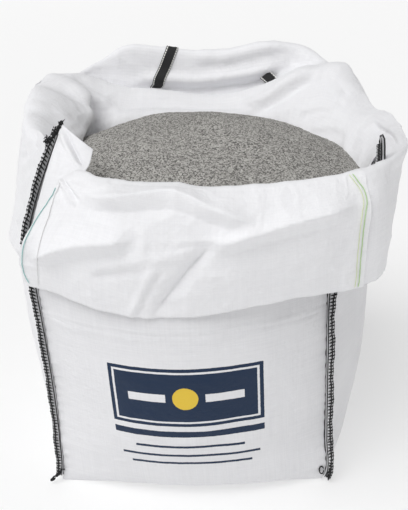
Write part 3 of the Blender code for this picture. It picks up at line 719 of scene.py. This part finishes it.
# The rest of the skirt, from under the front flap's right edge, round the back to the front left
# corner. Rows: two places on the inner face, the first crest, the valley behind it, the fold
# above the valley, the outer crest, and three places down the outside. What the frame doesn't show
# is in metres.
REST = (
    ((352, 176, -0.400), (352, 174, -0.425), (350, 172.5, -0.452), (350, 172, -0.457), (350, 172.2, -0.461), (350, 173.0, -0.466), (352, 187, -0.484), (356, 235, -0.486), (352, 287, -0.440)),
    ((362, 172, -0.390), (362, 171, -0.420), (362, 169.5, -0.446), (362, 169, -0.451), (362, 169.2, -0.455), (362, 170.5, -0.460), (368, 184, -0.476), (371, 235, -0.474), (366, 285, -0.420)),
    ((366, 172, -0.330), (372, 168, -0.370), (378, 162.8, -0.412), (378, 162.5, -0.417), (378, 162.7, -0.421), (379, 163.6, -0.426), (384, 178, -0.440), (385, 228, -0.436), (372, 281.5, -0.385)),
    ((371, 164, -0.260), (382, 160, -0.310), (392, 156.8, -0.370), (392.3, 156.6, -0.375), (392.5, 156.8, -0.379), (393.5, 157.8, -0.384), (0.506, -0.388, 0.915), (0.508, -0.386, 0.790), (0.492, -0.340, 0.620)),
    ((374, 158, -0.160), (392, 150, -0.235), (404.5, 146.5, -0.285), (405.5, 146.5, -0.288), (406, 147, -0.290), (406, 148.5, -0.293), (0.545, -0.298, 0.905), (0.535, -0.296, 0.775), (0.522, -0.272, 0.612)),
    ((368, 160, -0.100), (388, 141, -0.120), (403.5, 137.0, -0.165), (404.8, 137, -0.167), (405.4, 138, -0.168), (405.4, 140, -0.170), (0.567, -0.172, 0.893), (0.556, -0.170, 0.765), (0.539, -0.150, 0.604)),
    ((360, 160, -0.060), (381, 134, -0.010), (398, 125.0, -0.035), (399.5, 124.8, -0.036), (400, 126, -0.037), (400, 128, -0.038), (0.578, -0.038, 0.880), (0.568, -0.030, 0.760), (0.545, -0.020, 0.605)),
    ((350, 156, -0.010), (371, 125, 0.070), (388, 115.0, 0.085), (389.5, 114.5, 0.086), (390, 116, 0.087), (390, 118, 0.087), (0.578, 0.095, 0.875), (0.572, 0.100, 0.760), (0.546, 0.100, 0.610)),
    ((340, 149, 0.050), (356, 118, 0.135), (369, 106.0, 0.200), (371, 105.5, 0.206), (372, 107, 0.210), (372, 110, 0.212), (0.556, 0.222, 0.875), (0.568, 0.230, 0.765), (0.546, 0.220, 0.630)),
    ((328, 144, 0.100), (340, 105, 0.190), (355, 84.0, 0.265), (358, 85, 0.275), (359.5, 88, 0.282), (360, 92, 0.290), (0.543, 0.315, 0.925), (0.561, 0.335, 0.800), (0.541, 0.322, 0.655)),
    ((312, 136, 0.140), (325, 98, 0.215), (340, 63.5, 0.310), (343, 63, 0.320), (345.5, 64, 0.330), (347, 67, 0.340), (0.510, 0.388, 0.982), (0.531, 0.420, 0.850), (0.516, 0.408, 0.700)),
    ((300, 129, 0.170), (308, 100, 0.230), (322, 66.0, 0.325), (326, 64.5, 0.345), (328, 64, 0.360), (330, 64, 0.380), (0.462, 0.436, 0.992), (0.483, 0.478, 0.870), (0.471, 0.475, 0.745)),
    ((286, 122, 0.200), (288, 101, 0.245), (296, 72.0, 0.345), (300, 72, 0.385), (303, 64, 0.400), (307, 48.5, 0.430), (0.382, 0.470, 1.040), (0.396, 0.503, 0.945), (0.393, 0.508, 0.845)),
    ((262, 116, 0.235), (262, 106, 0.270), (262, 85.5, 0.345), (262, 91, 0.400), (262, 76, 0.415), (262, 42.5, 0.440), (0.215, 0.480, 1.072), (0.214, 0.510, 0.985), (0.212, 0.516, 0.900)),
    ((228, 113, 0.250), (228, 109, 0.285), (228, 94.5, 0.355), (228, 98, 0.410), (228, 82, 0.420), (228, 49.0, 0.445), (0.102, 0.482, 1.060), (0.099, 0.510, 0.980), (0.096, 0.517, 0.905)),
    ((192, 113, 0.250), (192, 109, 0.290), (192, 94.6, 0.360), (192, 98, 0.415), (192, 85, 0.425), (192, 49.5, 0.450), (-0.017, 0.484, 1.062), (-0.020, 0.514, 0.985), (-0.022, 0.520, 0.910)),
    ((158, 114, 0.240), (158, 108, 0.290), (158, 90.6, 0.365), (158, 95, 0.420), (158, 84, 0.430), (158, 46.0, 0.455), (-0.129, 0.490, 1.074), (-0.133, 0.518, 0.990), (-0.136, 0.524, 0.915)),
    ((120, 118, 0.225), (122, 108, 0.285), (126, 87.4, 0.370), (126, 92, 0.425), (126, 80, 0.435), (126, 45.2, 0.460), (-0.240, 0.494, 1.078), (-0.247, 0.522, 0.990), (-0.252, 0.528, 0.915)),
    ((104, 124, 0.215), (100, 104, 0.275), (97, 78.0, 0.375), (97, 84, 0.420), (97, 76, 0.435), (99, 61.0, 0.455), (-0.338, 0.484, 1.026), (-0.348, 0.510, 0.960), (-0.354, 0.516, 0.905)),
    ((92, 128, 0.200), (84, 98, 0.255), (72, 73.2, 0.365), (72, 74, 0.380), (72, 74.5, 0.390), (73, 76.0, 0.400), (-0.418, 0.428, 1.000), (-0.426, 0.446, 0.955), (-0.432, 0.452, 0.915)),
    ((80, 139, 0.060), (92, 112, 0.140), (50, 77.5, 0.330), (49, 77.5, 0.335), (48.5, 78, 0.338), (48, 79, 0.340), (-0.485, 0.348, 1.008), (-0.488, 0.350, 0.970), (-0.486, 0.346, 0.935)),
    ((82, 145, -0.020), (80, 112, 0.080), (38, 84.0, 0.240), (37, 84.5, 0.243), (36.5, 85, 0.245), (36, 86, 0.246), (-0.496, 0.247, 1.006), (-0.497, 0.244, 0.972), (-0.494, 0.240, 0.935)),
    ((80, 150, -0.080), (68, 118, -0.010), (29, 96.5, 0.130), (28.5, 97.5, 0.131), (28, 98.5, 0.131), (28, 100, 0.130), (28, 108, 0.128), (29, 121, 0.124), (31, 136.0, 0.118)),
    ((76, 156, -0.130), (58, 128, -0.090), (26, 113.0, 0.000), (25.5, 114, 0.000), (25.2, 115, 0.000), (25, 116, -0.001), (25, 124, -0.002), (27, 137, -0.003), (30, 151.0, -0.004)),
    ((70, 164, -0.190), (54, 138, -0.180), (25, 125.0, -0.110), (24.7, 126, -0.112), (24.6, 128, -0.116), (24.6, 130, -0.122), (26, 140, -0.140), (29, 153, -0.150), (33, 168.0, -0.160)),
    ((78, 178, -0.290), (60, 156, -0.290), (37, 142.0, -0.240), (36.6, 143, -0.241), (36.4, 144, -0.242), (36.4, 146, -0.243), (37, 155, -0.244), (38, 168, -0.246), (40, 182.0, -0.248)),
    ((88, 192, -0.340), (72, 174, -0.345), (51, 150.0, -0.310), (50.8, 151, -0.311), (50.6, 152, -0.312), (50.5, 154, -0.313), (51, 162, -0.314), (52, 174, -0.315), (53, 187.0, -0.316)),
)


SPAN = 14
# The folds of the rest, for its inner face and first crest, and for the flap that stands at the back.
INNER_FOLDS = (
    ("step", 4.5, 14.0, ((236, 113), (256, 107.5), (271, 100), (292, 85.5), (306, 78), (322, 71))),
    ("step", 4.0, 12.0, ((30, 82), (50, 81), (63, 85.5), (76.5, 93), (91.8, 100.8), (107, 108.4), (122, 112))),
    ("step", 3.5, 7.0, ((78, 143), (84, 135), (90, 125), (93.7, 112), (91, 101))),
    ("ridge", 2.5, 2.5, ((30, 104), (45, 112), (60, 115), (75, 114))),
    ("step", 3.0, 3.0, ((27, 112), (40, 110), (55, 114), (70, 122))),
    ("ridge", 1.8, -2.5, ((302, 122.7), (315, 121), (328, 122), (341, 123))),
    ("step", 3.0, 3.5, ((296, 118), (310, 112), (325, 110), (342, 112))),
    ("ridge", 1.8, -2.5, ((320, 139), (330, 138), (346, 140))),
    ("step", 3.0, 3.0, ((310, 133), (325, 130), (340, 131), (352, 136))),
    ("step", 3.5, 4.0, ((352, 158), (349, 146), (352, 134), (360, 122), (372, 114))),
    ("step", 2.5, 4.0, ((372, 121), (383, 128), (393, 134.6), (399, 147))),
    ("ridge", 2.0, 2.5, ((318, 76), (328, 88), (340, 98), (352, 108))),
    ("ridge", 2.0, -2.5, ((325, 72), (338, 84), (350, 98))),
    ("step", 2.6, 2.5, ((120, 98), (150, 99), (180, 101), (215, 102), (250, 99))),
    ("step", 2.2, 2.0, ((150, 105), (180, 106), (215, 107.5), (245, 106), (268, 98))),
    ("ridge", 1.8, 1.5, ((262, 92), (280, 86), (298, 78), (312, 72))),
)
FLAP_FOLDS = (
    ("step", 4.5, 16.0, ((128, 82), (150, 83.5), (170, 84), (194, 85), (220.7, 82.5), (260, 76), (280, 69), (292, 64))),
    ("step", 4.0, 4.0, ((190, 60), (215, 62), (240, 58), (266, 52), (290, 50))),
    ("ridge", 2.2, -3.0, ((282, 42), (287, 52), (296, 62), (308, 70))),
    ("ridge", 2.2, 3.0, ((276, 41), (279, 52), (284, 63), (290, 72))),
    ("ridge", 2.0, 2.2, ((300, 46), (306, 56), (314, 66))),
    ("ridge", 1.8, 2.4, ((112, 52), (122, 60), (136, 66), (146, 76))),
    ("ridge", 1.8, -2.0, ((186, 52), (192, 62), (205, 72), (222, 78))),
    ("ridge", 2.0, 2.0, ((232, 50), (226, 60), (216, 68))),
)


def skirt_rest():
    knots = np.array([[spot(place) for place in station] for station in REST]).transpose(1, 0, 2)
    low = knots[:1] + (knots[:1] - knots[1:2]) * 0.35
    low[..., 2] = knots[:1, :, 2] - 0.05
    knots = np.concatenate([low, knots])
    grid = net(knots, SPAN, 15)
    lift = cloth_creases(grid) + crinkles(grid)
    lift += folded(grid, INNER_FOLDS, slice(0, 4 * SPAN)) + folded(grid, FLAP_FOLDS, slice(4 * SPAN + 5, 6 * SPAN + 4))
    grid = raise_by(grid, lift)
    made = sheet_mesh("skirt_back_cloth", grid, SKIRT_WHITE)
    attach(made, "root")
    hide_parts("top_skirt")
    return grid


# The front left corner's own cloth, which stands up above the flap and folds in over the dust.
# Rows run down from its top edge, columns from the corner seam inwards.
EAR_CLOTH = (
    ((62.5, 124, -0.300), (70, 131, -0.325), (82, 141, -0.350), (93, 149.5, -0.370)),
    ((58, 140, -0.318), (67, 147, -0.350), (79, 154, -0.378), (91.5, 157, -0.398)),
    ((51.5, 160, -0.342), (61, 164, -0.380), (74, 166, -0.408), (89.5, 165, -0.424)),
    ((45, 181, -0.362), (55, 182, -0.400), (68, 179, -0.436), (85, 174, -0.452)),
    ((38.5, 205, -0.380), (49, 204, -0.416), (65, 198, -0.448), (84, 188, -0.468)),
    ((32, 234, -0.392), (43, 232, -0.428), (62, 224, -0.462), (84, 214, -0.484)),
)


EAR_FOLDS = (
    ("step", 2.2, 6.5, ((84, 170), (80, 165), (73, 152), (67, 139), (62, 126))),
    ("ridge", 1.3, 2.0, ((81, 168), (75, 163), (68, 150), (63, 138))),
    ("ridge", 1.6, -2.2, ((58, 150), (57, 162), (54, 174))),
    ("step", 2.0, 2.4, ((56, 178), (64, 172), (74, 168), (84, 166))),
)


def ear():
    knots = [[seen(*place) for place in row] for row in EAR_CLOTH]
    grid = net(knots, 16, 22)
    grid = raise_by(grid, cloth_creases(grid, 0.8) + folded(grid, EAR_FOLDS))
    made = sheet_mesh("front_left_corner_cloth", grid, SKIRT_WHITE)
    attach(made, "root")
    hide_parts("front_base_back_panel")


def tubes(name, paths, radius, look, sides=7):
    """Threads as one object: a round tube of the given radius along each path of points."""
    verts, faces = [], []
    turn = np.linspace(0, 2 * np.pi, sides, endpoint=False)
    for path in paths:
        path = np.asarray(path, dtype=float)
        along = np.gradient(path, axis=0)
        along /= np.maximum(np.linalg.norm(along, axis=1, keepdims=True), 1e-12)
        side = np.cross(along, (0.31, 0.17, 0.93))
        side /= np.maximum(np.linalg.norm(side, axis=1, keepdims=True), 1e-12)
        up = np.cross(side, along)
        taper = np.ones(len(path))
        taper[0] = taper[-1] = 0.35
        ring = side[:, None] * np.cos(turn)[None, :, None] + up[:, None] * np.sin(turn)[None, :, None]
        rings = path[:, None] + ring * (radius * taper)[:, None, None]
        base = len(verts)
        verts.extend(rings.reshape(-1, 3).tolist())
        for i in range(len(path) - 1):
            for j in range(sides):
                k = (j + 1) % sides
                a, b = base + i * sides, base + (i + 1) * sides
                faces.append((a + j, a + k, b + k, b + j))
        faces.append(tuple(base + j for j in reversed(range(sides))))
        faces.append(tuple(base + (len(path) - 1) * sides + j for j in range(sides)))
    mesh = bpy.data.meshes.new(name)
    mesh.from_pydata(verts, [], faces)
    mesh.shade_smooth()
    mesh.materials.append(look)
    made = bpy.data.objects.new(name, mesh)
    bpy.context.scene.collection.objects.link(made)
    return made


FIN = 0.021
FIN_THICK = 0.0032
STITCH = 0.0100
THREAD = 0.0021
CHAIN = 0.0014
SEAM_TOPS = {"front_left": 7.0, "front_right": 5.3, "back_right": 5.9, "back_left": 5.9}


def seam_frames(corner, step):
    """Places up a corner, a step apart: the corner, the way out along the fin, and its front face."""
    top = SEAM_TOPS[corner]
    levels = np.linspace(0.5, top, 1200)
    line = on_line(corner, levels)
    rise = (np.clip((levels - EAR_FOOT) / (TOP_LEVEL - EAR_FOOT), 0, None) ** 2)[:, None]
    line = line + np.array(EARS[corner]) * rise
    long = np.concatenate([[0], np.cumsum(np.linalg.norm(np.diff(line, axis=0), axis=1))])
    spots = np.arange(0, long[-1], step)
    points = np.stack([np.interp(spots, long, line[:, k]) for k in range(3)], axis=-1)
    out = points * np.array((1, 1, 0))
    out /= np.linalg.norm(out, axis=1, keepdims=True)
    along = np.gradient(points, axis=0)
    along /= np.linalg.norm(along, axis=1, keepdims=True)
    out -= along * (out * along).sum(axis=1, keepdims=True)
    out /= np.linalg.norm(out, axis=1, keepdims=True)
    if corner == "front_left":
        out *= np.interp(points[:, 2], (0.72, 0.90), (1.0, 1.15))[:, None]
    face = np.cross(along, out / np.linalg.norm(out, axis=1, keepdims=True))
    if face[0] @ (0, -1, 0) < 0:
        face = -face
    return spots, points, out, face


def seams():
    """Each corner's sewn edges: a doubled cloth fin, two lines of chain stitch and an overlock."""
    for corner in CORNERS:
        spots, points, out, face = seam_frames(corner, 0.004)
        wave = 0.0022 * np.sin(spots * 2 * np.pi / 0.16) + 0.0012 * np.sin(spots * 2 * np.pi / 0.047)
        offsets = np.linspace(0, 1, 9)
        lean = (offsets[None, :, None] ** 1.5) * (wave[:, None, None] * face[:, None])
        grid = points[:, None] + out[:, None] * (offsets * FIN)[None, :, None] + lean
        fin = sheet_mesh("seam_fin_" + corner, grid, WHITE, thickness=FIN_THICK, offset=0.0)
        half = FIN_THICK / 2 + THREAD * 0.75
        bead = 0.0006 * np.sin(spots * 2 * np.pi / 0.008)[:, None]
        lines = [points + out * (away + bead * 0.5) + face * (half + bead) for away in (-0.0010, 0.0068)]
        chain = tubes("seam_chain_" + corner, lines, CHAIN, BLACK)
        paths = []
        bead = 0.0010 * np.sin(spots * 2 * np.pi / STITCH)[:, None]
        width = np.linalg.norm(out, axis=1, keepdims=True)
        for side in (-1, 1):
            paths.append(points + out * (FIN - 0.0012) + wave[:, None] * face + face * side * half + out / width * bead)
        spots2, points2, out2, face2 = seam_frames(corner, STITCH)
        for i in range(1, len(points2) - 1):
            slant = (points2[i + 1] - points2[i]) * rng.uniform(0.5, 1.1)
            start = 0.0105 + rng.uniform(-0.0015, 0.001)
            end = FIN + rng.uniform(-0.001, 0.002)
            lift = wave[min(int(i * STITCH / 0.004), len(wave) - 1)]
            p, o, f = points2[i], out2[i], face2[i]
            bow = f * lift
            path = [
                p + o * start + f * half - slant * 0.5,
                p + o * (start * 0.55 + end * 0.45) + f * half * 1.15 + bow * 0.3,
                p + o * (end - 0.002) + f * half + slant * 0.4 + bow,
                p + o * (end + 0.0012) + slant * 0.5 + bow,
                p + o * (end - 0.002) - f * half + slant * 0.4 + bow,
                p + o * (start * 0.55 + end * 0.45) - f * half * 1.15 + bow * 0.3,
                p + o * start - f * half - slant * 0.5,
            ]
            paths.append(path)
        thread = tubes("seam_thread_" + corner, paths, THREAD, BLACK)
        for piece, slot in ((fin, "woven_white"), (thread, "black_thread"), (chain, "black_thread")):
            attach(piece, "root")
            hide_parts("corner_seam_" + corner)


def on_frame(grid, places, lift=CLOTH + 0.0016):
    """The points of a grid that show at places in the frame, a little proud of it."""
    flat = shown(grid).reshape(-1, 2)
    proud = raise_by(grid, np.full(grid.shape[:2], lift)).reshape(-1, 3)
    points = []
    for place in smooth_along(np.array(places, dtype=float), 8):
        gap = np.linalg.norm(flat - place, axis=1)
        near = np.argpartition(gap, 6)[:6]
        weight = 1 / (gap[near] + 0.15) ** 2
        points.append((proud[near] * weight[:, None]).sum(axis=0) / weight.sum())
    return np.array(points)


GREEN_LINE = ((352, 174.5), (357.3, 181), (363.8, 190.5), (366.5, 201), (365, 213.7), (363.3, 226.7), (361.7, 244), (360, 262.4), (359, 278.7), (357.5, 286))
TEAL_LINE = ((56.5, 188), (54.3, 193), (43.3, 209), (31.7, 229), (25, 243), (22.6, 254.7), (22.6, 262), (24.5, 271.6), (30, 282.5))
TAPE_LINE = ((61, 183), (58, 190), (52.7, 204.2), (48.5, 219), (43.3, 233.7), (39.6, 249.5), (38, 260), (38.5, 273.7), (39, 285))


def edge_threads():
    """The coloured threads woven in beside the two edges of the front piece."""
    outside = flap[34:]
    aside = [(x - 3.4, y + 0.6) for x, y in GREEN_LINE]
    for name, line, radius, look in (
        ("skirt_green_thread", GREEN_LINE, 0.0011, GREEN),
        ("skirt_yellow_thread", aside, 0.0008, YELLOW),
        ("skirt_teal_thread", TEAL_LINE, 0.0009, TEAL),
        ("skirt_tape_line", TAPE_LINE, 0.0006, GREY),
    ):
        thread = tubes(name, [on_frame(outside, line)], radius, look)
        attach(thread, "root")
        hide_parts("top_skirt")


def sewn(name, grid, look, node, thickness=CLOTH, offset=0.0):
    made = sheet_mesh(name, grid, look, thickness, offset)
    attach(made, "root")
    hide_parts(node)
    return made


def column_at(row, target):
    """Where along a row of the rest's grid the frame's x is the target for its y."""
    places = shown(row)
    gap = places[:, 0] - target(places[:, 1])
    order = np.argsort(gap)
    return np.interp(0, gap[order], np.arange(len(gap))[order])


def straps():
    """The two back lifting straps, where they come out over the back of the skirt."""
    first, last = 5 * SPAN - 5, len(rest) - 1
    edges = []
    for foot, head in (((147.9, 91.0), (169.8, 43.4)), ((159.8, 92.0), (180.4, 46.6))):
        lean = (head[0] - foot[0]) / (head[1] - foot[1])
        columns = []
        for row in range(first, 6 * SPAN + 1):
            columns.append(column_at(rest[row, 230:340], lambda y: foot[0] + (y - foot[1]) * lean) + 230)
        for row in range(6 * SPAN + 1, last + 1):
            columns.append(columns[-1] + 0.35)
        columns = np.convolve(np.pad(columns, 4, mode="edge"), np.ones(9) / 9, mode="valid")
        edges.append(columns)
    face = facing(rest)
    grid = []
    for index, row in enumerate(range(first, last + 1)):
        line = []
        for share in np.linspace(0, 1, 9):
            column = edges[0][index] * (1 - share) + edges[1][index] * share
            low = int(column)
            part = column - low
            point = rest[row, low] * (1 - part) + rest[row, low + 1] * part
            line.append(point + face[row, low] * 0.0036)
        grid.append(line)
    grid = np.array(grid)
    wall = wall_grid("back", np.linspace(0, 1, 200), np.linspace(3, 7, 200)).reshape(-1, 3)
    head = grid[-1]
    lower = []
    for x, z in ((-0.268, 0.745), (-0.284, 0.690), (-0.300, 0.635)):
        for step in np.linspace(0, 1, 9):
            place = np.array((x - 0.019 + 0.038 * step, z + 0.011 * step))
            near = wall[np.argmin(np.linalg.norm(wall[:, (0, 2)] - place, axis=1))]
            lower.append((place[0], near[1] + 0.0045, place[1]))
    lower = np.array(lower).reshape(3, 9, 3)
    ahead = head + (grid[-1] - grid[-6]) * 2.2
    fall = smooth_along(np.stack([grid[-6], head, ahead * (1, 0, 1) + head * (0, 0.6, 0) + lower[0] * (0, 0.4, 0), *lower]), 10)
    grid = np.concatenate([grid, fall[11:]])
    sewn("lifting_strap_left", grid, WEBBING, "lifting_loop_back_left", 0.0022)
    corners = np.array([[seen(260, 78.4, 0.405), seen(269.8, 71.2, 0.412)], [seen(268.5, 86, 0.392), seen(280.5, 82, 0.390)]])
    grid = net(np.array([corners[0], corners.mean(axis=0) + (0, -0.004, 0.002), corners[1]]).transpose(0, 1, 2), 8, 10)
    sewn("lifting_strap_right", grid, WEBBING, "lifting_loop_back_right", 0.0022)


def curls(centres, count, size):
    """Loose ends of thread: short random loops round places in the frame."""
    paths = []
    line = np.array([seen(*place) for place in centres])
    for _ in range(count):
        at = rng.uniform(0, len(line) - 1)
        low = min(int(at), len(line) - 2)
        centre = line[low] + (line[low + 1] - line[low]) * (at - low)
        swing = rng.uniform(0, 2 * np.pi)
        sweep = np.linspace(swing, swing + rng.uniform(2.0, 5.0), 12)
        reach = size * rng.uniform(0.5, 1.2)
        path = centre + reach * np.stack([np.cos(sweep), 0.5 * np.sin(sweep * 1.3), np.sin(sweep)], axis=-1)
        paths.append(path + np.linspace(0, 1, 12)[:, None] * rng.uniform(-size, size, 3))
    return paths


def thread_ends():
    """The tangled ends of the overlock thread at the tops and feet of the front seams."""
    tangles = curls(((45, 142, -0.330), (52, 137, -0.320), (58, 130, -0.308), (62, 122, -0.300)), 44, 0.0042)
    tangles += [
        np.array([seen(*place) for place in path])
        for path in (
            ((52, 137, -0.322), (48, 138.5, -0.330), (45.5, 137, -0.333), (43.5, 139, -0.336)),
            ((46, 140, -0.33), (47, 136, -0.332), (46, 134.5, -0.333)),
            ((58, 127, -0.305), (62, 122.5, -0.303), (65, 119, -0.302)),
            ((60, 124, -0.305), (58, 121, -0.303)),
        )
    ]
    tangles += curls(((64, 468, -0.392), (61, 472, -0.396), (57, 475, -0.399), (54, 478, -0.401), (52, 480, -0.402)), 26, 0.0035)
    thread = tubes("seam_ends_front_left", tangles, THREAD * 0.8, BLACK)
    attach(thread, "root")
    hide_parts("corner_seam_front_left")
    rows = (
        ((379.6, 136.0, -0.350), (383.8, 135.6, -0.352)),
        ((378.4, 146.0, -0.350), (384.2, 147.0, -0.354)),
        ((376.4, 158.0, -0.352), (384.0, 158.0, -0.358)),
        ((374.0, 170.0, -0.366), (382.0, 170.0, -0.372)),
    )
    grid = net([[seen(*place) for place in row] for row in rows], 8, 6)
    sewn("seam_top_front_right", grid, SKIRT_WHITE, "corner_seam_front_right", FIN_THICK)
    paths = [
        [seen(*place) for place in path]
        for path in (
            ((384.6, 166, -0.362), (384.8, 156, -0.360), (384.9, 147, -0.358), (384.5, 139, -0.356), (382.6, 134.6, -0.354), (380.4, 135.8, -0.355), (379.6, 141, -0.356), (379.8, 147, -0.358)),
            ((381.6, 166, -0.366), (381.6, 155, -0.364), (381.6, 145, -0.362), (381.8, 138, -0.360)),
            ((374.2, 161, -0.368), (372.8, 162.4, -0.370), (371.4, 164.6, -0.372)),
            ((375.5, 160, -0.366), (374.6, 163, -0.370), (376, 165, -0.372)),
        )
    ]
    for step in range(15):
        y = 144.5 + 1.5 * step
        lean = rng.uniform(-0.5, 0.5)
        paths.append([seen(376.6 - 0.07 * step + lean, y + 0.8, -0.362), seen(379, y, -0.365), seen(381.4, y - 0.8, -0.362)])
    paths += curls(((331, 466, -0.392), (330, 471, -0.393), (327, 476, -0.393)), 20, 0.0035)
    turn = np.linspace(0, 6.0, 14)
    paths.append([seen(321.5 + 2.2 * math.cos(t), 470 + 3.6 * math.sin(t), -0.391) for t in turn])
    thread = tubes("seam_ends_front_right", paths, THREAD * 0.9, BLACK)
    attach(thread, "root")
    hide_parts("corner_seam_front_right")


def stage_and_light():
    floor = bpy.data.meshes.new("floor")
    floor.from_pydata([(-250, -250, 0), (250, -250, 0), (250, 250, 0), (-250, 250, 0)], [], [(0, 1, 2, 3)])
    ground = bpy.data.objects.new("floor", floor)
    bpy.context.scene.collection.objects.link(ground)
    look = Look("pale floor")
    floor.materials.append(look.shade(Base_Color=(0.45, 0.45, 0.45), Roughness=0.85, Emission_Color=(1, 1, 1), Emission_Strength=0.48))
    turn = np.linspace(0, 2 * np.pi, 97)
    ring = [(60 * math.cos(t), 60 * math.sin(t), z) for t in turn[:-1] for z in (-0.3, 19.0)]
    sides = [(2 * i, 2 * i + 1, (2 * i + 3) % 192, (2 * i + 2) % 192) for i in range(96)]
    wall = bpy.data.meshes.new("backdrop")
    wall.from_pydata(ring, [], sides)
    look = Look("white backdrop")
    wall.materials.append(look.shade(Base_Color=(0.0, 0.0, 0.0), Emission_Color=(1, 1, 1), Emission_Strength=1.0))
    backdrop = bpy.data.objects.new("backdrop", wall)
    bpy.context.scene.collection.objects.link(backdrop)
    world = bpy.data.worlds.new("soft white room")
    world.use_nodes = True
    world.node_tree.nodes["Background"].inputs["Color"].default_value = (1.0, 1.0, 1.0, 1.0)
    world.node_tree.nodes["Background"].inputs["Strength"].default_value = 0.28
    bpy.context.scene.world = world
    for name, towards, spread, power in (
        ("key", (0.36, 0.44, -1.00), 44.0, 2.20),
    ):
        lamp = bpy.data.lights.new(name, "SUN")
        lamp.angle = math.radians(spread)
        lamp.energy = power
        made = bpy.data.objects.new(name, lamp)
        made.rotation_euler = Vector(towards).to_track_quat("-Z", "Y").to_euler()
        bpy.context.scene.collection.objects.link(made)
    bpy.context.scene.view_settings.view_transform = "Standard"


body_panels()
heap()
flap = front_flap()
rest = skirt_rest()
ear()
seams()
edge_threads()
straps()
thread_ends()
stage_and_light()
